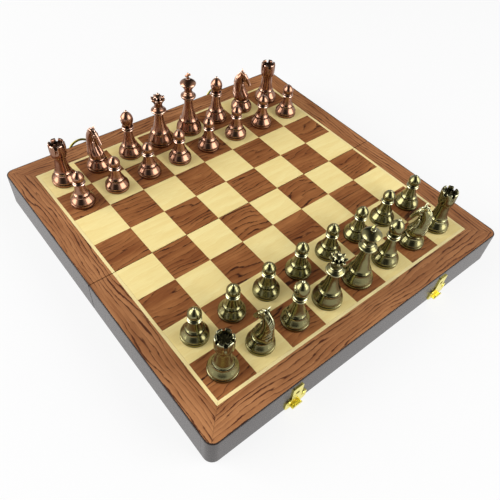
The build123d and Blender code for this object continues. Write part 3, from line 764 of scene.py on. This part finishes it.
def finial_cross():
    """A cross with arms that widen outwards, with its edges rounded."""
    narrow, wide, half_thick, side = 0.62, 1.0, 0.8, 2.75
    bottom, arm_low, arm_high, top = 55.0, 56.9, 58.7, 60.0
    edge_round = 0.28
    middle = (arm_low + arm_high) / 2
    right_side = [
        (wide, bottom), (narrow, middle - narrow), (side, arm_low),
        (side, arm_high), (narrow, middle + narrow), (wide, top),
    ]
    outline = right_side + [(-x, z) for x, z in reversed(right_side)]
    build = bmesh.new()
    face = build.faces.new([build.verts.new((x, -half_thick, z)) for x, z in outline])
    swept = bmesh.ops.extrude_face_region(build, geom=[face])["geom"]
    front = [item for item in swept if isinstance(item, bmesh.types.BMVert)]
    bmesh.ops.translate(build, vec=(0, 2 * half_thick, 0), verts=front)
    bmesh.ops.recalc_face_normals(build, faces=build.faces)
    bmesh.ops.bevel(build, geom=build.edges[:], offset=edge_round, segments=2, affect="EDGES")
    return build


# Knight: a horse's head and neck, modelled by hand in clay and cast: a broad chest, an arched
# crest with a mane in locks, a head held steeply down, and two upright ears. The stations below
# are (forward, height, half depth, half width) up the trunk, from the ring to the poll.
trunk_line = [
    (-0.6, 11.0, 6.6, 6.1), (-0.9, 13.0, 7.2, 6.2), (-1.3, 15.2, 7.5, 6.1), (-2.1, 18.0, 6.1, 5.5),
    (-3.0, 20.8, 4.9, 4.8), (-3.6, 24.5, 4.2, 4.3), (-3.9, 28.0, 4.0, 3.9), (-3.5, 31.5, 3.9, 3.6),
    (-2.5, 34.8, 3.7, 3.2), (-1.0, 37.6, 2.9, 2.6), (-0.6, 39.2, 1.6, 1.5),
]
trunk_sides = 48
mane_locks, lock_parts = 10, 5
lowest_lock, lock_pitch = 18.5, 2.0
lock_fall, fall_gain, fall_power = 3.4, 0.25, 1.3
lock_start, lock_turn, turn_sway, sway_step = 4, 58, 9, 2.3
lock_thickness, lock_taper = 0.7, 0.62
clay_grain = 0.27


def blob(build, centre, radii, lean=0.0):
    """An egg of the given half sizes, leaning in the plane of the horse's profile."""
    leaning = Matrix.Rotation(-math.radians(lean), 4, "Y")
    spot = Matrix.Translation(centre) @ leaning @ Matrix.Diagonal((*radii, 1))
    bmesh.ops.create_icosphere(build, subdivisions=3, radius=1, matrix=spot)


def limb(build, stations, parts):
    """Eggs set closely along a line through stations of (forward, side, height, deep, wide)."""
    along = []
    for start, end in zip(stations, stations[1:]):
        for share in (part / parts for part in range(parts)):
            along.append([a + (b - a) * share for a, b in zip(start, end)])
    for forward, side, height, deep, wide in along + [stations[-1]]:
        blob(build, (forward, side, height), (deep, wide, deep))


def trunk_at(height):
    """Forward place, half depth and half width of the trunk at a height."""
    for (f0, h0, d0, w0), (f1, h1, d1, w1) in zip(trunk_line, trunk_line[1:]):
        if height <= h1:
            share = (height - h0) / (h1 - h0)
            return f0 + (f1 - f0) * share, d0 + (d1 - d0) * share, w0 + (w1 - w0) * share
    return trunk_line[-1][0], trunk_line[-1][2], trunk_line[-1][3]


def trunk(build):
    """Body and neck as one tube through the stations of the trunk line."""
    turns = [2 * math.pi * side / trunk_sides for side in range(trunk_sides)]
    rings = []
    for forward, height, deep, wide in smooth_curve(trunk_line, 0.8):
        places = [(forward + deep * math.cos(turn), wide * math.sin(turn), height) for turn in turns]
        rings.append([build.verts.new(spot) for spot in places])
    for low, high in zip(rings, rings[1:]):
        for side in range(trunk_sides):
            after = (side + 1) % trunk_sides
            build.faces.new((low[side], low[after], high[after], high[side]))
    build.faces.new(rings[0][::-1])
    build.faces.new(rings[-1])


def face_and_crest(build):
    """The long head, the throat, the chin and the ridge that runs up the neck to the forelock."""
    limb(build, [
        (-0.9, 0, 37.0, 3.0, 2.7), (1.4, 0, 35.9, 2.8, 2.5), (3.3, 0, 33.6, 2.4, 2.1),
        (4.9, 0, 31.2, 1.85, 1.7), (6.3, 0, 28.9, 1.5, 1.45), (7.1, 0, 27.5, 1.35, 1.4),
    ], parts=5)
    throat = [(-0.2, 0, 25.0, 1.3, 2.0), (0.4, 0, 29.5, 1.3, 1.8)]
    limb(build, throat, parts=5)
    blob(build, (5.8, 0, 26.9), (1.0, 1.1, 0.8), lean=50)
    crest = []
    for height in (13.5, 16.0, 18.5, 21.5, 25.0, 28.5, 32.0, 35.0, 37.6):
        forward, deep, _ = trunk_at(height)
        crest.append((forward - deep - 0.1, 0, height, 0.9, 0.6))
    forelock = [
        (-2.4, 0, 39.7, 0.85, 0.7), (-0.6, 0, 40.3, 0.85, 0.75),
        (1.6, 0, 39.0, 0.75, 0.75), (3.4, 0, 36.6, 0.35, 0.5),
    ]
    limb(build, crest + forelock, parts=6)


def one_side(build, side):
    """Chest and shoulder, haunch, cheek, eye with its brow, nostril and ear on one side."""
    limb(build, [
        (4.2, 1.9 * side, 13.4, 2.5, 2.7), (3.6, 1.9 * side, 15.6, 2.4, 2.6),
        (1.8, 1.8 * side, 19.2, 2.1, 2.2), (0.6, 1.5 * side, 23.0, 1.7, 1.8),
        (0.2, 1.2 * side, 27.0, 1.3, 1.4),
    ], parts=6)
    swellings = {
        "haunch": ((-4.6, 2.0 * side, 14.2), (3.6, 3.6, 3.4), 10),
        "cheek": ((1.9, 1.4 * side, 33.2), (2.3, 1.4, 2.5), 20),
        "brow": ((2.9, 2.0 * side, 35.7), (0.95, 0.5, 0.55), 40),
        "eye": ((3.05, 2.05 * side, 34.8), (0.55, 0.5, 0.5), 0),
        "nostril": ((7.5, 0.9 * side, 27.4), (0.6, 0.55, 0.8), 30),
    }
    for centre, radii, lean in swellings.values():
        blob(build, centre, radii, lean)
    ear = [
        (-0.6, 1.5 * side, 37.6, 1.3, 1.1), (-0.9, 2.2 * side, 39.2, 1.25, 0.9),
        (-1.2, 2.9 * side, 40.7, 0.8, 0.6), (-1.4, 3.4 * side, 42.0, 0.25, 0.22),
    ]
    limb(build, ear, parts=6)


def mane(build, side):
    """Locks that fall from the crest round the neck, each thinner towards its tip."""
    for lock in range(mane_locks):
        strand = []
        for part in range(lock_parts):
            share = part / (lock_parts - 1)
            fall = (lock_fall + fall_gain * lock) * share**fall_power
            height = lowest_lock + lock_pitch * lock - fall
            forward, deep, wide = trunk_at(height)
            full_turn = lock_turn + turn_sway * math.sin(sway_step * lock)
            turn = math.radians(lock_start + full_turn * share)
            thick = lock_thickness * (1 - lock_taper * share)
            spot = (forward - deep * math.cos(turn), side * wide * math.sin(turn), height)
            strand.append((*spot, thick, thick))
        limb(build, strand, parts=3)


def horse_head():
    """The horse from the ring up, as one skin over its muscles."""
    build = bmesh.new()
    trunk(build)
    face_and_crest(build)
    for side in (-1, 1):
        one_side(build, side)
        mane(build, side)
    rough = bpy.data.meshes.new("horse_clay")
    build.to_mesh(rough)
    build.free()
    clay = bpy.data.objects.new("horse_clay", rough)
    bpy.context.scene.collection.objects.link(clay)
    skin = clay.modifiers.new("skin", "REMESH")
    skin.mode = "VOXEL"
    skin.voxel_size = clay_grain
    ease = clay.modifiers.new("ease", "SMOOTH")
    ease.factor = 0.5
    ease.iterations = 2
    bpy.context.view_layer.update()
    shaped = bpy.data.meshes.new_from_object(clay.evaluated_get(bpy.context.evaluated_depsgraph_get()))
    bpy.data.objects.remove(clay)
    build = bmesh.new()
    build.from_mesh(shaped)
    bpy.data.meshes.remove(shaped)
    build.verts.index_update()
    return build


knight_runs = foot(10.5, 6.8, 10.3) + [[(6.45, 11.6), (5.6, 11.9), (3.0, 12.0), (0, 12.0)]]

# Casting and plating: one pattern serves all the men of a kind. The castings are plated and then darkened,
# so that rubbed parts shine and grooves stay dark, one army in greenish brass and the other in copper.
# Places sheltered by the casting or by the board come out darker still, partly as patina and partly as
# painted shade.
man_meshes = {
    "pawn": finished_mesh("pawn", turned(pawn_runs)),
    "rook": finished_mesh("rook", turned(rook_runs, sides=120, shape=battlements)),
    "knight": finished_mesh("knight", joined(turned(knight_runs), horse_head())),
    "bishop": finished_mesh("bishop", turned(bishop_runs, sides=96, step=0.3, shape=mitre_cut)),
    "queen": finished_mesh("queen", turned(queen_runs, sides=120, shape=coronet)),
    "king": finished_mesh("king", joined(turned(king_runs), finial_cross())),
}


def cast_metal(name, bright, middle, dark, gloss):
    """Antique plating: bright where hands rub it, dark in the grooves and in sheltered places, by the wear
    and painted shade of the casting.
    """
    material = bpy.data.materials.new(name)
    material.use_nodes = True
    tree = material.node_tree
    shader = tree.nodes["Principled BSDF"]
    # The casting's wear and patina, with painted shade where it is sheltered, read from its mesh.
    wear_and_shade = place(tree, "Attribute", attribute_name="wear_and_shade").outputs["Fac"]
    spot = place(tree, "TexCoord").outputs["Object"]
    patch = place(tree, "TexNoise", {"Vector": spot, "Scale": 240.0, "Detail": 5.0, "Roughness": 0.6})
    uneven = place(tree, "MapRange", {"Value": patch.outputs[0], "To Min": -0.16, "To Max": 0.16}).outputs[0]
    worn_and_shaded = place(tree, "Math", {0: wear_and_shade, 1: uneven}, operation="ADD").outputs[0]
    low = place(tree, "MapRange", {"Value": worn_and_shaded, "From Min": 0.12, "From Max": 0.5}).outputs[0]
    high = place(tree, "MapRange", {"Value": worn_and_shaded, "From Min": 0.6, "From Max": 1.0}).outputs[0]
    tint = mixed(tree, low, dark, middle)
    tint = mixed(tree, high, tint, bright)
    tree.links.new(tint, shader.inputs["Base Color"])
    rough = place(tree, "MapRange", {"Value": worn_and_shaded, "To Min": gloss + 0.2, "To Max": gloss}).outputs[0]
    tree.links.new(rough, shader.inputs["Roughness"])
    shader.inputs["Metallic"].default_value = 1.0
    return material


rubbed_gloss = 0.12
antique_brass = cast_metal(
    "antique_brass",
    bright=colour(222, 219, 178), middle=colour(126, 121, 84), dark=colour(11, 11, 7), gloss=rubbed_gloss,
)
antique_copper = cast_metal(
    "antique_copper",
    bright=colour(236, 204, 184), middle=colour(152, 112, 90), dark=colour(15, 10, 8), gloss=rubbed_gloss,
)

# Starting array: sixteen brass men on ranks 1 and 2, sixteen copper men on ranks 7 and 8. Each
# stands loose in the middle of its square, the bishops facing across and the knights aside.
files = "abcdefgh"
home_files = {
    "rook_a": 0, "knight_b": 1, "bishop_c": 2, "queen": 3,
    "king": 4, "bishop_f": 5, "knight_g": 6, "rook_h": 7,
}
knight_heading = {"near_knight_b": 102, "near_knight_g": 128, "far_knight_b": -72, "far_knight_g": -48}
bishop_heading = 90
board_middle = 3.5
for army, home, front, metal, slot in (
    ("near", 0, 1, antique_brass, "antique_brass"),
    ("far", 7, 6, antique_copper, "copper"),
):
    standing = {f"{army}_{man}": (file, home) for man, file in home_files.items()}
    standing.update({f"{army}_pawn_{letter}": (files.index(letter), front) for letter in files})
    for man, (file, rank) in standing.items():
        kind = man.split("_")[1]
        mesh = man_meshes[kind].copy()
        mesh.materials.append(metal)
        piece = bpy.data.objects.new(f"{man}_casting", mesh)
        bpy.context.scene.collection.objects.link(piece)
        piece.location = ((file - board_middle) * square, (rank - board_middle) * square, board_top)
        turn = knight_heading.get(man, bishop_heading if kind == "bishop" else 0)
        piece.rotation_euler = (0, 0, math.radians(turn))
        bpy.context.view_layer.update()
        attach(piece, man)
        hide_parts(man)
